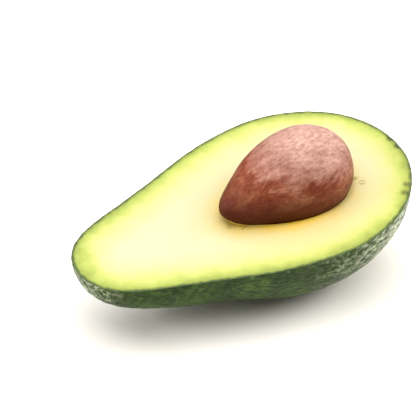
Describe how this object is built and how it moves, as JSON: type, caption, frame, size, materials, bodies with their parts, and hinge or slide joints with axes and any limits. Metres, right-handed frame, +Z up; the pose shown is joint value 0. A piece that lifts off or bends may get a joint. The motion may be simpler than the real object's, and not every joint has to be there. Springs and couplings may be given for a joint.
{
  "type": "avocado half with seed",
  "caption": "Pear-shaped green avocado half, cut lengthways and still holding its seed, lying on its round back on a small flat spot.",
  "frame": {"origin": "on the surface it rests on, under the middle of the half's box", "axes": "+X along the fruit from the stem end towards the blossom end, +Y across it towards the raised edge, +Z up"},
  "size_m": [0.1196, 0.0694, 0.0529],
  "materials": {
    "skin": "satin",
    "flesh": "satin",
    "seed": "satin"
  },
  "bodies": {
    "root": {"skin": "skin", "flesh": "flesh", "seed": "seed"}
  },
  "joints": []
}
